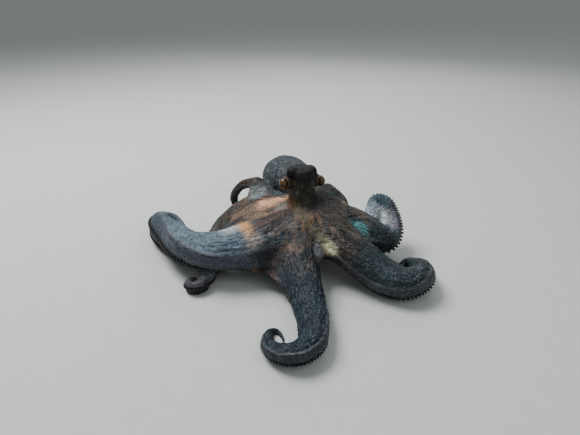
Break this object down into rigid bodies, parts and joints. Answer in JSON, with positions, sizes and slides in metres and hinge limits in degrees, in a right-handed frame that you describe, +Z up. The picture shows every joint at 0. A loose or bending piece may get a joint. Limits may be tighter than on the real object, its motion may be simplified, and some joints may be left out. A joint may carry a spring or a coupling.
{
  "type": "octopus",
  "caption": "Life-size common octopus crawling with its head raised over a tent of webbed, curling arms, as a still display animal that rests on its arms.",
  "frame": {"origin": "middle of the footprint of the whole animal, on the floor it rests on", "axes": "+Z up; -Y is the side the animal crawls towards; -X is its right-hand side"},
  "size_m": [0.4178, 0.457, 0.1363],
  "materials": {
    "arm_skin": "wet skin, blue-grey with pale flecks along the arm and paler suckers",
    "web_skin": "wet wrinkled skin, mottled red-brown",
    "head_skin": "wet wrinkled skin, dark brown",
    "mantle_skin": "wet skin, light grey with a net of white flecks",
    "siphon_skin": "wet smooth skin, pale",
    "eye": "clear wet eyeball with a golden iris and a dark slit pupil"
  },
  "bodies": {
    "root": {"arm_left_1_base": "arm_skin", "arm_left_1_middle": "arm_skin", "arm_left_1_outer": "arm_skin", "arm_left_1_tip": "arm_skin", "arm_left_2_base": "arm_skin", "arm_left_2_middle": "arm_skin", "arm_left_2_outer": "arm_skin", "arm_left_2_tip": "arm_skin", "arm_left_3_base": "arm_skin", "arm_left_3_middle": "arm_skin", "arm_left_3_outer": "arm_skin", "arm_left_3_tip": "arm_skin", "arm_left_4_base": "arm_skin", "arm_left_4_middle": "arm_skin", "arm_left_4_outer": "arm_skin", "arm_left_4_tip": "arm_skin", "arm_right_1_base": "arm_skin", "arm_right_1_middle": "arm_skin", "arm_right_1_outer": "arm_skin", "arm_right_1_tip": "arm_skin", "arm_right_2_base": "arm_skin", "arm_right_2_middle": "arm_skin", "arm_right_2_outer": "arm_skin", "arm_right_2_tip": "arm_skin", "arm_right_3_base": "arm_skin", "arm_right_3_middle": "arm_skin", "arm_right_3_outer": "arm_skin", "arm_right_3_tip": "arm_skin", "arm_right_4_base": "arm_skin", "arm_right_4_middle": "arm_skin", "arm_right_4_outer": "arm_skin", "arm_right_4_tip": "arm_skin", "brow_left": "head_skin", "brow_right": "head_skin", "crown": "web_skin", "eye_left": "eye", "eye_right": "eye", "head": "head_skin", "mantle": "mantle_skin", "siphon": "siphon_skin", "web_dorsal": "web_skin", "web_left_1_2": "web_skin", "web_left_2_3": "web_skin", "web_left_3_4": "web_skin", "web_right_1_2": "web_skin", "web_right_2_3": "web_skin", "web_right_3_4": "web_skin", "web_ventral": "web_skin"}
  },
  "joints": []
}
